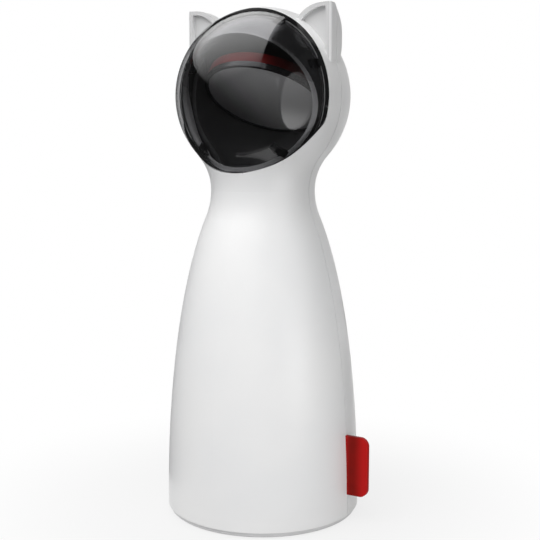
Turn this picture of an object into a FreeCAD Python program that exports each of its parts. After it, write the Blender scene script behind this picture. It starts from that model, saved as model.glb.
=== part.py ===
# Automatic cat laser toy: a pear-shaped housing with a round head and two ears. A tinted dome in the
# head covers a mirror that a small motor turns, and a laser under the mirror shines up at it.
# Millimetres, +Z up. The origin is on the floor under the middle of the base, and the dome faces -Y.

import FreeCAD, Part
import math
import os
import re
import Sketcher

SIZES = {
    # outline of the housing, from the base up
    "base_radius": 40.0,
    "foot_height": 2.4,
    "belly_handle": 48.8,
    "shoulder_handle": 28.0,
    "shoulder_slope": 22.4,
    "neck_arc": 28.6,
    "waist_radius": 21.25,
    "waist_height": 133.6,
    "head_radius": 35.4,
    "head_height": 171.1,
    "wall": 2.2,
    "seam_gap": 0.4,
    "lip_reach": 2.0,
    "lip_wall": 1.05,
    "lip_play": 0.05,
    "lip_short": 0.2,
    # clearances
    "moving_gap": 0.35,
    "seat_gap": 0.05,
    "weld": 0.2,
    "over": 1.0,
    # dome and its opening
    "opening_radius": 37.0,
    "opening_height": 177.9,
    "opening_depth": 8.3,
    "dome_wall": 1.6,
    "tab_wide": 3.0,
    "tab_reach": 3.4,
    "tab_foot": 2.4,
    "tab_forward": 8.6,
    "tab_wall": 1.0,
    "tab_root": 10.0,
    # ears
    "ear_side": 33.1,
    "ear_front": 5.2,
    "ear_back": 6.9,
    "ear_peak": 2.0,
    "ear_heel": 2.4,
    "ear_top": 206.4,
    "ear_bulge_height": 196.0,
    "ear_bottom": 183.3,
    "ear_inner": 14.0,
    "ear_drop": 9.0,
    "ear_arch": 9.2,
    "ear_arch_round": 14.0,
    "ear_tip_round": 0.8,
    "ear_back_round": 14.0,
    "ear_heel_round": 2.2,
    "ear_front_round": 1.6,
    "ear_rear_round": 3.0,
    "ear_rim": 1.6,
    "ear_side_rim": 2.4,
    "ear_recess": 2.0,
    "recess_round": 0.6,
    # mask and bowl behind the dome
    "mask_offset": 2.5,
    "mask_wall": 1.2,
    "mask_tuck": 3.4,
    "window_wide": 29.85,
    "window_tall": 25.7,
    "window_height": 168.8,
    "bowl_offset": 5.0,
    "bowl_wall": 1.2,
    "floor_height": 141.5,
    "floor_thick": 1.6,
    "ledge_thick": 1.6,
    "ledge_reach": 7.0,
    "laser_window": 3.4,
    # mirror and its drive, along the leaning axis
    "lean": 30.0,
    "mirror_place": 1.8,
    "mirror_height": 170.1,
    "mirror_radius": 24.6,
    "mirror_thick": 1.5,
    "mirror_edge": 0.3,
    "bezel_wall": 0.7,
    "bezel_tall": 1.8,
    "bezel_lap": 0.35,
    "cup_tall": 4.0,
    "cup_floor": 1.4,
    "cup_wall": 1.2,
    "cup_proud": 0.6,
    "pivot_height": 6.3,
    "pivot_radius": 1.0,
    "lug_half": 2.5,
    "lug_deep": 1.9,
    "cheek_wall": 2.0,
    "cheek_gap": 0.3,
    "hub_radius": 6.5,
    "hub_height": 8.6,
    "hub_thick": 1.2,
    "shaft_radius": 1.95,
    "shaft_play": 0.05,
    "deck_height": 10.6,
    "deck_thick": 1.4,
    "bush_flange": 4.5,
    "bush_radius": 3.2,
    "bush_lip": 0.4,
    "gear_module": 0.5,
    "output_teeth": 36,
    "wheel_teeth": 32,
    "pinion_teeth": 10,
    "pressure_angle": 20.0,
    "wheel_tip": 0.3,
    "pinion_tip": 0.4,
    "root_depth": 0.6,
    "backlash": 0.12,
    "gear_height": 12.75,
    "gear_thick": 1.8,
    "stage_gap": 0.4,
    "wheel_thick": 1.5,
    "pinion_tall": 2.2,
    "axle_radius": 0.75,
    "motor_offset": 2.06,
    "post_radius": 2.2,
    "post_tall": 5.4,
    "bridge_radius": 20.0,
    "bridge_thick": 1.2,
    "bridge_side": 2.0,
    "bridge_front": 5.0,
    "motor_radius": 7.75,
    "motor_long": 11.0,
    "motor_round": 0.8,
    "motor_shaft": 0.95,
    "shaft_short": 0.4,
    "bush_wall": 0.5,
    "bush_nose": 0.3,
    "cap_radius": 6.0,
    "cap_thick": 1.8,
    # laser
    "laser_radius": 4.5,
    "laser_long": 15.0,
    "laser_sunk": 0.4,
    "laser_board_thick": 1.0,
    "lens_radius": 2.5,
    "lens_seat": 2.0,
    "lens_edge": 0.9,
    "lens_crown": 0.3,
    "holder_radius": 6.0,
    "holder_long": 16.0,
    "flange_radius": 9.0,
    "flange_thick": 1.5,
    # battery bay
    "cell_radius": 7.2,
    "cell_long": 49.5,
    "cell_pitch": 15.6,
    "cell_place": 20.8,
    "cell_play": 0.3,
    "cell_round": 0.4,
    "nub_radius": 2.6,
    "nub_tall": 1.0,
    "tray_wall": 1.3,
    "tray_floor": 3.0,
    "tray_bottom": 8.0,
    "spring_tall": 4.4,
    "spring_foot": 5.6,
    "spring_tip": 3.8,
    "spring_wall": 1.6,
    "contact_thick": 0.4,
    "contact_half": 5.5,
    "contact_round": 1.0,
    "door_wall": 1.9,
    "door_half": 25.0,
    "door_bottom": 6.5,
    "door_top": 76.0,
    "door_boss": 3.2,
    "door_screw_drop": 5.2,
    "door_screw_sink": 1.7,
    "door_pad": 1.2,
    "door_pad_radius": 3.7,
    "door_screw_head": 1.2,
    "door_screw_long": 8.0,
    "peg_radius": 1.0,
    "peg_start": 28.0,
    "peg_hole_start": 25.0,
    "peg_spread": 14.0,
    # electronics
    "board_half": 14.5,
    "board_bottom": 79.0,
    "board_tall": 24.0,
    "board_place": 21.4,
    "board_thick": 1.6,
    "board_screw_side": 11.5,
    "board_screw_inset": 2.8,
    "board_post": 2.2,
    "socket_half": 4.6,
    "socket_tall": 3.4,
    "socket_height": 84.0,
    "socket_recess": 0.7,
    "socket_round": 1.6,
    "socket_play": 0.3,
    "socket_wall": 0.3,
    "socket_deep": 6.0,
    "tongue_half": 3.3,
    "tongue_thick": 0.7,
    "switch_height": 95.0,
    "switch_half": 4.3,
    "switch_tall": 4.4,
    "switch_deep": 4.0,
    "knob_half": 2.0,
    "knob_tall": 3.4,
    "knob_rise": 1.3,
    "knob_travel": 2.0,
    "knob_plate": 0.8,
    "knob_lap": 0.9,
    "knob_round": 0.6,
    "ridge_half": 0.2,
    "ridge_deep": 0.35,
    "chip_half": 3.0,
    "chip_thick": 1.0,
    "chip_drop": 5.0,
    "capacitor_radius": 2.5,
    "capacitor_long": 8.0,
    "capacitor_side": 9.0,
    "plug_half": 2.2,
    "plug_deep": 3.0,
    "plug_tall": 4.0,
    "plug_rise": 2.0,
    "low_plug": 0.6,
    "plug_pitch": 6.8,
    "lead_radius": 0.6,
    "lead_apart": 1.2,
    "lead_stub": 2.6,
    "lead_drop": 8.0,
    "channel_half": 3.4,
    # fasteners
    "screw_radius": 1.3,
    "thread_bite": 0.15,
    "hole_play": 0.1,
    "head_play": 0.2,
    "screw_head": 2.5,
    "screw_head_tall": 1.5,
    "screw_point": 0.4,
    "head_side": 0.6,
    "cross_reach": 0.55,
    "cross_half": 0.25,
    "small_screw": 0.8,
    "small_bite": 0.1,
    "small_head": 1.6,
    "small_head_tall": 1.0,
    "small_screw_long": 4.5,
    "boss_radius": 3.2,
    "low_boss_side": 29.5,
    "low_boss_height": 40.0,
    "neck_boss_side": 13.0,
    "neck_boss_height": 112.0,
    "ear_screw_side": 28.5,
    "ear_screw_height": 197.5,
    "ear_screw_long": 4.2,
    "ear_screw_seat": 2.0,
    "web_wall": 1.6,
    "pilot_floor": 2.0,
    "screw_seat": 11.5,
    "long_screw_long": 22.0,
    "pilot_depth": 16.0,
    "base_boss_ring": 31.0,
    "base_boss_tall": 12.0,
    # base and tag
    "plate_inset": 0.9,
    "mat_radius": 25.0,
    "mat_thick": 1.2,
    "mat_proud": 0.4,
    "mat_edge": 0.3,
    "plate_chamfer": 0.5,
    "spigot_tall": 3.5,
    "spigot_wall": 1.6,
    "spigot_play": 0.3,
    "base_screw_seat": 1.6,
    "base_screw_head": 1.1,
    "base_screw_long": 9.0,
    "plate_floor": 0.8,
    "tag_thick": 1.8,
    "tag_reach": 8.8,
    "tag_root": 3.4,
    "tag_bottom": 11.3,
    "tag_tall": 24.4,
    "tag_round": 3.4,
    "tag_root_round": 0.2,
    "tag_anchor": 1.2,
}

doc = FreeCAD.newDocument("cat_laser_toy")
sheet = doc.addObject("Spreadsheet::Sheet", "Sizes")
for row, (word, number) in enumerate(SIZES.items(), 1):
    sheet.set("A%d" % row, word)
    sheet.set("B%d" % row, str(number))
    sheet.setAlias("B%d" % row, word)
doc.recompute()

nodes = {}
AXES = {"X": FreeCAD.Vector(1, 0, 0), "Y": FreeCAD.Vector(0, 1, 0), "Z": FreeCAD.Vector(0, 0, 1)}


def formula(text):
    """The text of a size or sum of sizes, as an expression of the document."""
    def in_sheet(word):
        return "Sizes." + word[0] if word[0] in SIZES else word[0]

    return re.sub(r"\b[a-z_]+\b", in_sheet, str(text))


def size(text):
    """The value of a size or sum of sizes."""
    return float(sheet.evalExpression(formula(text)))


def bind(item, **sums):
    for name, text in sums.items():
        item.setExpression(name, formula(text))


def place(item, at=("0", "0", "0"), turn=("Z", "0")):
    """Bind the item's place, and its turn about one axis."""
    rotation = FreeCAD.Rotation(AXES[turn[0]], size(turn[1]))
    item.Placement = FreeCAD.Placement(FreeCAD.Vector(0, 0, 0), rotation)
    for name, text in zip("xyz", at):
        item.setExpression("Placement.Base." + name, formula(text))


def node(name, item):
    item.Label = name
    nodes[name] = item
    return item


# Solids and their sums

FACING_BACK = ("X", "-90")
FACING_FRONT = ("X", "90")
UPSIDE_DOWN = ("X", "180")
ALONG_X = ("Y", "90")

# Cutting blocks reach this far past the housing, and from under the floor to this high above it
NEAR, FAR = "-60", "60"
BELOW_LEAN, ABOVE_LEAN = "-90", "90"
UNDER, OVERHEAD = "-10", "230"


def box(name, x, y, z, turn=("Z", "0"), at=None):
    """A box between the lower and upper text of each axis."""
    item = doc.addObject("Part::Box", name)
    bind(item, Length="(%s) - (%s)" % (x[1], x[0]), Width="(%s) - (%s)" % (y[1], y[0]),
         Height="(%s) - (%s)" % (z[1], z[0]))
    place(item, at or (x[0], y[0], z[0]), turn)
    return item


def rod(name, radius, length, at=("0", "0", "0"), turn=("Z", "0")):
    item = doc.addObject("Part::Cylinder", name)
    bind(item, Radius=radius, Height=length)
    place(item, at, turn)
    return item


def join(name, *items):
    item = doc.addObject("Part::MultiFuse", name)
    item.Shapes = list(items)
    return item


def shared(name, *items):
    item = doc.addObject("Part::MultiCommon", name)
    item.Shapes = list(items)
    return item


def cut(name, base, *tools):
    item = doc.addObject("Part::Cut", name)
    item.Base = base
    item.Tool = tools[0] if len(tools) == 1 else join(name + "_tools", *tools)
    return item


def plane_of(body, role):
    return next(item for item in body.Origin.OriginFeatures if item.Role == role)


def new_sketch(body, role, name):
    sketch = body.newObject("Sketcher::SketchObject", name)
    sketch.AttachmentSupport = (plane_of(body, role), [""])
    sketch.MapMode = "FlatFace"
    return sketch


def lathe(name, outline, at=("0", "0", "0"), turn=("Z", "0")):
    """A body turned about its Z axis from a closed outline of (radius, height) sums."""
    body = doc.addObject("PartDesign::Body", name)
    sketch = new_sketch(body, "XZ_Plane", name + "_outline")
    corners = [FreeCAD.Vector(size(radius), size(height), 0) for radius, height in outline]
    for start, end in zip(corners, corners[1:] + corners[:1]):
        sketch.addGeometry(Part.LineSegment(start, end))
    for index, (radius, height) in enumerate(outline):
        sketch.addConstraint(Sketcher.Constraint("Coincident", index, 2, (index + 1) % len(outline), 1))
        for kind, axis, text in (("DistanceX", -2, radius), ("DistanceY", -1, height)):
            if text == "0":
                sketch.addConstraint(Sketcher.Constraint("PointOnObject", index, 1, axis))
                continue
            bound = sketch.addConstraint(Sketcher.Constraint(kind, -1, 1, index, 1, size(text)))
            sketch.setExpression("Constraints[%d]" % bound, formula(text))
    turned = body.newObject("PartDesign::Revolution", name + "_turned")
    turned.Profile = sketch
    turned.ReferenceAxis = (sketch, ["V_Axis"])
    turned.Angle = 360
    place(body, at, turn)
    return body


def slab(name, corners, thick, at=("0", "0", "0"), turn=("Z", "0"), role="XY_Plane"):
    """A body padded from a closed outline of (x, y, corner radius) sums."""
    body = doc.addObject("PartDesign::Body", name)
    sketch = new_sketch(body, role, name + "_outline")
    for edge in rounded_outline(corners):
        sketch.addGeometry(edge)
    pad = body.newObject("PartDesign::Pad", name + "_pad")
    pad.Profile = sketch
    bind(pad, Length=thick)
    place(body, at, turn)
    return body


def rounded_outline(corners):
    """Lines, and arcs tangent to them, round a closed outline of (x, y, corner radius) sums."""
    points = [FreeCAD.Vector(size(x), size(y), 0) for x, y, radius in corners]
    ends = []
    for index, (x, y, radius) in enumerate(corners):
        before = (points[index - 1] - points[index]).normalize()
        after = (points[(index + 1) % len(points)] - points[index]).normalize()
        half = before.getAngle(after) / 2
        back = size(radius) / math.tan(half)
        middle = (before + after).normalize()
        reach = size(radius) / math.sin(half) - size(radius)
        here = points[index]
        ends.append((here + before * back, here + middle * reach, here + after * back))
    edges = []
    for index, (start, middle, end) in enumerate(ends):
        if (start - end).Length > 1e-6:
            edges.append(Part.Arc(start, middle, end))
        edges.append(Part.LineSegment(end, ends[(index + 1) % len(ends)][0]))
    return edges


def group(name, master, places):
    """Copies of one fastener or small part at several placements, as separate solids of one node."""
    doc.recompute()
    item = doc.addObject("Part::Feature", name)
    item.Shape = Part.makeCompound([master.Shape.transformed(spot.toMatrix(), True) for spot in places])
    return node(name, item)


def spot(x, y, z, turn=("Z", "0")):
    rotation = FreeCAD.Rotation(AXES[turn[0]], size(turn[1]))
    return FreeCAD.Placement(FreeCAD.Vector(size(x), size(y), size(z)), rotation)


# Outline of the housing

def housing_outline(inset):
    """The edges of the half outline, set in by a distance: belly, neck, collar and head."""
    foot = FreeCAD.Vector(size("base_radius") - inset, size("foot_height"), 0)
    slope = math.radians(size("shoulder_slope"))
    waist = size("waist_radius")
    waist_height = size("waist_height")
    head = size("head_radius")
    rise = size("head_height") - waist_height
    neck_center = FreeCAD.Vector(waist + size("neck_arc"), waist_height, 0)
    neck_radius = size("neck_arc") + inset
    shoulder = neck_center - FreeCAD.Vector(math.cos(slope), math.sin(slope), 0) * neck_radius
    up = FreeCAD.Vector(0, size("belly_handle"), 0)
    down = FreeCAD.Vector(math.sin(slope), -math.cos(slope), 0) * size("shoulder_handle")
    belly = Part.BezierCurve()
    belly.setPoles([foot, foot + up, shoulder + down, shoulder])
    collar = (waist ** 2 + rise ** 2 - head ** 2) / (2 * (head - waist))
    collar_center = FreeCAD.Vector(waist + collar, waist_height, 0)
    head_center = FreeCAD.Vector(0, size("head_height"), 0)
    meet = math.atan2(-rise, waist + collar)
    neck = Part.Circle(neck_center, FreeCAD.Vector(0, 0, 1), neck_radius)
    bend = Part.Circle(collar_center, FreeCAD.Vector(0, 0, 1), collar + inset)
    round_head = Part.Circle(head_center, FreeCAD.Vector(0, 0, 1), head - inset)
    top = head_center + FreeCAD.Vector(0, head - inset, 0)
    floor = FreeCAD.Vector(0, size("foot_height"), 0)
    return [
        Part.LineSegment(floor, foot),
        belly.toBSpline(),
        Part.ArcOfCircle(neck, math.pi, math.pi + slope),
        Part.ArcOfCircle(bend, math.pi + meet, math.pi),
        Part.ArcOfCircle(round_head, meet, math.pi / 2),
        Part.LineSegment(top, floor),
    ]


def surface_at(height):
    """The outline's radius at a height on the belly, as text for a formula."""
    belly = housing_outline(0)[1]
    level = Part.Line(FreeCAD.Vector(0, size(height), 0), FreeCAD.Vector(1, size(height), 0))
    return "%.6f" % belly.intersectCC(level)[0].X


def turned_outline(inset):
    """The housing's outline as a turned solid, set in from its outer surface by a sum of sizes."""
    name = "outline_" + re.sub(r"\W+", "_", inset)
    found = doc.getObject(name)
    if found:
        return found
    body = doc.addObject("PartDesign::Body", name)
    sketch = new_sketch(body, "XZ_Plane", name + "_sketch")
    for edge in housing_outline(size(inset)):
        sketch.addGeometry(edge)
    turned = body.newObject("PartDesign::Revolution", name + "_turned")
    turned.Profile = sketch
    turned.ReferenceAxis = (sketch, ["V_Axis"])
    turned.Angle = 360
    place(body, turn=("Z", "-90"))
    return body


def layer(name, outer, inner):
    """The skin between two insets of the outline."""
    return cut(name, turned_outline(outer), turned_outline(inner))


def wide_box(name, y=(NEAR, FAR), z=(UNDER, OVERHEAD), x=(NEAR, FAR)):
    """A box wider than the toy, to keep one side of it."""
    return box(name, x, y, z)


# The mirror's leaning frame: its Z axis is the spin axis, from the mirror's face up and back

def leaning(x="0", y="0", z="0"):
    at = (x, "mirror_place + (%s) * cos(lean) + (%s) * sin(lean)" % (y, z),
          "mirror_height - (%s) * sin(lean) + (%s) * cos(lean)" % (y, z))
    return {"at": at, "turn": ("X", "-lean")}


def leaning_box(name, x, y, z):
    return box(name, x, y, z, turn=("X", "-lean"), at=leaning(x[0], y[0], z[0])["at"])


# Ears

def ear(side):
    """One ear as a solid block: what its three outlines share, less the recess in its front."""
    name = "ear_right" if side > 0 else "ear_left"
    sign = "" if side > 0 else "-"
    front = slab(name + "_front", [
        (sign + "ear_inner", "ear_top - ear_drop", "0"),
        (sign + "(ear_side - ear_arch)", "ear_top - ear_tip_round / 2", "ear_arch_round"),
        (sign + "ear_side", "ear_top", "ear_tip_round"),
        (sign + "ear_side", "ear_bottom", "ear_tip_round"),
        (sign + "ear_inner", "ear_bottom", "0"),
    ], "ear_front + ear_back", at=("0", "ear_back", "0"), role="XZ_Plane")
    profile = slab(name + "_side", [
        ("-ear_front", "ear_bottom", "ear_tip_round"),
        ("ear_heel", "ear_bottom", "ear_heel_round"),
        ("ear_back", "ear_bulge_height", "ear_back_round"),
        ("-ear_peak", "ear_top", "ear_tip_round"),
        ("-ear_front", "ear_top", "0"),
    ], "2 * ear_side", at=("-ear_side", "0", "0"), role="YZ_Plane")
    plan = slab(name + "_plan", [
        (sign + "ear_inner", "-ear_front", "0"),
        (sign + "ear_side", "-ear_front", "ear_front_round"),
        (sign + "ear_side", "ear_back", "ear_rear_round"),
        (sign + "ear_inner", "ear_back", "0"),
    ], "ear_top - ear_bottom", at=("0", "0", "ear_bottom"))
    recess = slab(name + "_recess", [
        (sign + "(ear_inner + 2 * ear_rim)", "ear_top - ear_drop - ear_rim / 2", "recess_round"),
        (sign + "(ear_side - ear_arch)", "ear_top - ear_tip_round / 2 - ear_rim",
         "ear_arch_round - ear_rim"),
        (sign + "(ear_side - ear_side_rim)", "ear_top - ear_rim", "recess_round"),
        (sign + "(ear_side - ear_side_rim)", "ear_bottom + 2 * ear_side_rim", "recess_round"),
    ], "2 * ear_recess", at=("0", "ear_recess - ear_front", "0"), role="XZ_Plane")
    return cut(name, shared(name + "_block", front, profile, plan), recess)


# Housing: front shell and rear cover, with the ears split between them

def bosses(name, side, reach_in, reach_out, radius):
    """The screw columns of one half, along Y, low down and in the neck."""
    columns = []
    for index, (across, height) in enumerate((("low_boss_side", "low_boss_height"),
                                              ("neck_boss_side", "neck_boss_height"))):
        low, high = (reach_in, reach_out) if side > 0 else (reach_out, reach_in)
        for sign in ("", "-"):
            columns.append(rod("%s_%d_%s" % (name, index, "left" if sign else "right"), radius,
                               "(%s) - (%s)" % (high, low), (sign + across, low, height), FACING_BACK))
    return columns


BASE_BOSS_TURNS = {"front": (-45, -135), "rear": (14, 166)}


def base_columns(half, radius, bottom, top, name):
    return [rod("%s_%s_%d" % (name, half, index), radius, "(%s) - (%s)" % (top, bottom),
                ("base_boss_ring * cos(%d)" % turn, "base_boss_ring * sin(%d)" % turn, bottom))
            for index, turn in enumerate(BASE_BOSS_TURNS[half])]


def base_pilots(half):
    return base_columns(half, "screw_radius - thread_bite", "0",
                        "foot_height + base_boss_tall - pilot_floor", "base_pilot")


def base_webs(half):
    """A web from each base column out to the wall."""
    webs = []
    for index, turn in enumerate(BASE_BOSS_TURNS[half]):
        start = ("base_boss_ring * cos(%d) + web_wall / 2 * sin(%d)" % (turn, turn),
                 "base_boss_ring * sin(%d) - web_wall / 2 * cos(%d)" % (turn, turn),
                 "foot_height + spigot_tall")
        webs.append(box(
            "web_%s_%d" % (half, index), ("0", "base_radius - base_boss_ring"),
            ("0", "web_wall"), ("foot_height + plate_floor", "foot_height + base_boss_tall"),
            turn=("Z", str(turn)), at=start))
    return webs


def tag_slot():
    return box("tag_slot", ("base_radius - wall - over", FAR),
               ("-tag_thick / 2 - seat_gap", "tag_thick / 2 + seat_gap"),
               ("tag_bottom - seat_gap", "tag_bottom + tag_tall + seat_gap"))


def ledges(half, y):
    """The ring under the bowl's floor, and the stop above the mirror deck."""
    under = shared("floor_ledge_" + half, layer("floor_skin_" + half, "wall / 3", "ledge_reach"),
                   wide_box("floor_band_" + half, y, ("floor_height - ledge_thick", "floor_height")))
    stop_band = leaning_box("stop_band_" + half, (NEAR, FAR), (NEAR, FAR),
                            ("deck_height + deck_thick", "deck_height + deck_thick + ledge_thick"))
    over = shared("deck_stop_" + half, layer("stop_skin_" + half, "wall / 3", "bowl_offset"), stop_band,
                  wide_box("stop_side_" + half, y, ("head_height - head_radius / 2", OVERHEAD)))
    channel = box("lead_channel_" + half, ("-channel_half", "channel_half"),
                  ("waist_radius - ledge_reach", FAR), ("board_bottom", OVERHEAD))
    return cut("ledges_" + half, join("ledge_pair_" + half, under, over), channel)


def opening_cutter(name, radius, depth):
    """What the head's front opening takes away: a cylinder along Y, ahead of the rim's plane."""
    return rod(name, radius, FAR, ("0", "-(%s)" % depth, "opening_height"), FACING_FRONT)


def front_shell():
    half = wide_box("front_side", (NEAR, "-seam_gap / 2"))
    skin = shared("front_skin", layer("front_layer", "0", "wall"),
                  wide_box("lip_side", (NEAR, "lip_reach - lip_short")))
    lip_cut = shared("lip_cut", layer("lip_layer", "-over", "lip_wall + lip_play"),
                     wide_box("lip_cut_side", ("-seam_gap / 2", FAR), ("0", OVERHEAD)))
    inside = turned_outline("wall / 3")
    columns = shared("front_columns_kept", join("front_columns", *bosses(
        "front_boss", -1, "-seam_gap / 2", NEAR, "boss_radius")), inside)
    base = shared("front_base_kept", join("front_base", *base_columns(
        "front", "boss_radius", "foot_height + plate_floor", "foot_height + base_boss_tall", "base_boss"),
        *base_webs("front")), inside)
    ears = cut("front_ears_kept", shared("front_ears", join("ears_in_front", ear(1), ear(-1)), half),
               turned_outline("wall"))
    whole = join("front_whole", skin, columns, base, ears,
                 ledges("front", ("-opening_depth + mask_tuck + weld", "0")))
    holes = bosses("front_pilot", -1, "lip_reach", "-pilot_depth", "screw_radius - thread_bite")
    holes += base_pilots("front")
    for sign in ("", "-"):
        holes.append(rod("ear_pilot" + ("_left" if sign else "_right"), "screw_radius - thread_bite",
                         "ear_front - ear_recess - ear_rim / 2",
                         (sign + "ear_screw_side", "0", "ear_screw_height"),
                         FACING_FRONT))
    opening = opening_cutter("front_opening", "opening_radius", "opening_depth")
    return node("front_shell", cut("front_shell_solid", whole, lip_cut, opening, tag_slot(), *holes))


def rear_cover():
    half = wide_box("rear_side", ("seam_gap / 2", FAR))
    skin = shared("rear_skin", layer("rear_layer", "0", "wall"), half)
    groove = shared("lip_groove", layer("groove_layer", "lip_wall", "wall + lip_play"),
                    wide_box("groove_side", ("0", "lip_reach"), ("0", OVERHEAD)))
    inside = turned_outline("wall / 3")
    columns = shared("rear_columns_kept", join("rear_columns", *bosses(
        "rear_boss", 1, "seam_gap / 2", FAR, "boss_radius")), inside)
    base = shared("rear_base_kept", join("rear_base", *base_columns(
        "rear", "boss_radius", "foot_height + plate_floor", "foot_height + base_boss_tall", "base_boss"),
        *base_webs("rear")), inside)
    ears = cut("rear_ears_kept", shared("rear_ears", join("ears_in_rear", ear(1), ear(-1)), half),
               turned_outline("wall"))
    posts = shared("board_posts_kept", join("board_posts", *[
        rod("board_post_%d" % index, "board_post", FAR, (across, "board_place + board_thick", height),
            FACING_BACK) for index, (across, height) in enumerate(board_screw_places())]), inside)
    whole = join("rear_whole", skin, columns, base, ears, posts, ledges("rear", ("0", FAR)))
    holes = bosses("rear_hole", 1, "-over", FAR, "screw_radius + hole_play")
    holes += bosses("rear_head_hole", 1, "screw_seat", FAR, "screw_head + head_play")
    holes += base_pilots("rear")
    for sign in ("", "-"):
        name = "left" if sign else "right"
        holes.append(rod("ear_hole_" + name, "screw_radius + hole_play", FAR,
                         (sign + "ear_screw_side", "-over", "ear_screw_height"), FACING_BACK))
        holes.append(rod("ear_head_hole_" + name, "screw_head + head_play", FAR,
                         (sign + "ear_screw_side", "ear_screw_seat", "ear_screw_height"), FACING_BACK))
    for index, (across, height) in enumerate(board_screw_places()):
        holes.append(rod("board_pilot_%d" % index, "small_screw - small_bite", "small_screw_long",
                         (across, "board_place + board_thick - over", height), FACING_BACK))
    door_opening = box("door_opening", ("-door_half", "door_half"), ("cell_place - cell_radius", FAR),
                       ("door_bottom", "door_top"))
    socket_opening = slab("socket_opening", upright_window(
        "socket_half + socket_play", "socket_tall / 2 + socket_play", "socket_height", "socket_round"),
        FAR + " - board_place", at=("0", FAR, "0"), role="XZ_Plane")
    knob_reach = "knob_half + knob_travel + moving_gap"
    knob_opening = box("knob_opening", ("-(%s)" % knob_reach, knob_reach), ("board_place", FAR),
                       ("switch_height - knob_tall / 2 - moving_gap",
                        "switch_height + knob_tall / 2 + moving_gap"))
    return node("rear_cover", cut(
        "rear_cover_solid", whole, groove, tag_slot(), door_opening, socket_opening, knob_opening, *holes))


def upright_window(half_wide, half_tall, height, rounding):
    """Corners of an upright rounded window on the middle plane."""
    return [("%s(%s)" % (sign_x, half_wide), "%s %s (%s)" % (height, sign_z, half_tall), rounding)
            for sign_x, sign_z in (("-", "-"), ("", "-"), ("", "+"), ("-", "+"))]


def board_screw_places():
    low = "board_bottom + board_screw_inset"
    high = "board_bottom + board_tall - board_screw_inset"
    return [(sign + "board_screw_side", height) for height in (low, high) for sign in ("", "-")]


# Base: plate, mat and tag

def base_plate():
    plate = lathe("base_plate_turned", [
        ("0", "mat_thick"),
        ("mat_radius + seat_gap", "mat_thick"),
        ("mat_radius + seat_gap", "mat_proud"),
        ("base_radius - plate_inset - plate_chamfer", "mat_proud"),
        ("base_radius - plate_inset", "mat_proud + plate_chamfer"),
        ("base_radius - plate_inset", "foot_height"),
        ("base_radius - wall - spigot_play", "foot_height"),
        ("base_radius - wall - spigot_play", "foot_height + spigot_tall"),
        ("base_radius - wall - spigot_play - spigot_wall", "foot_height + spigot_tall"),
        ("base_radius - wall - spigot_play - spigot_wall", "foot_height + plate_floor"),
        ("0", "foot_height + plate_floor"),
    ])
    holes = []
    for half in ("front", "rear"):
        holes += base_columns(half, "screw_radius + hole_play", "0", "base_boss_tall", "plate_hole")
        holes += base_columns(half, "screw_head + head_play", "0", "base_screw_seat", "plate_sink")
        holes += base_columns(half, "boss_radius + spigot_play", "foot_height + plate_floor",
                              "base_boss_tall", "boss_room")
    holes.append(box("tag_room", ("base_radius - 2 * spigot_tall", "base_radius"),
                     ("-tag_thick", "tag_thick"), ("foot_height + plate_floor", "tag_bottom")))
    node("base_plate", cut("base_plate_solid", plate, *holes))
    node("anti_slip_mat", lathe("anti_slip_mat_turned", [
        ("0", "0"), ("mat_radius - mat_edge", "0"), ("mat_radius", "mat_edge"), ("mat_radius", "mat_thick"),
        ("0", "mat_thick")]))


def red_tag():
    flap = slab("tag_flap", [
        ("base_radius - tag_root", "tag_bottom", "tag_root_round"),
        ("base_radius + tag_reach", "tag_bottom", "tag_round"),
        ("base_radius + tag_reach", "tag_bottom + tag_tall", "tag_round"),
        ("base_radius - tag_root", "tag_bottom + tag_tall", "tag_root_round"),
    ], "tag_thick", at=("0", "tag_thick / 2", "0"), role="XZ_Plane")
    anchor = box("tag_anchor_bar", ("base_radius - tag_root - tag_anchor", "base_radius - tag_root"),
                 ("-1.5 * tag_thick", "1.5 * tag_thick"),
                 ("tag_bottom + tag_anchor", "tag_bottom + tag_tall - tag_anchor"))
    node("red_tag", join("red_tag_solid", flap, anchor))


# Dome and the mask and bowl behind it

TAB_TURNS = ((25.5, "0"), (68, "0"), (141, "tab_forward"), (-141, "tab_forward"), (-68, "0"), (-25.5, "0"))


def around_opening(name, turn, wide, y, inner):
    """A bar that points out from the head's middle, along X and Z, at a turn from the top."""
    item = doc.addObject("Part::Box", name)
    bind(item, Length=wide, Width="(%s) - (%s)" % (y[1], y[0]), Height=FAR)
    out = math.radians(turn)
    item.Placement = FreeCAD.Placement(FreeCAD.Vector(0, 0, 0), FreeCAD.Rotation(AXES["Y"], turn))
    across = "(%s) / 2" % wide
    x = "%.9f * (%s) - %.9f * (%s)" % (math.sin(out), inner, math.cos(out), across)
    z = "head_height + %.9f * (%s) + %.9f * (%s)" % (math.cos(out), inner, math.sin(out), across)
    bind(item, **{"Placement.Base.x": x, "Placement.Base.y": y[0], "Placement.Base.z": z})
    return item


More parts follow.
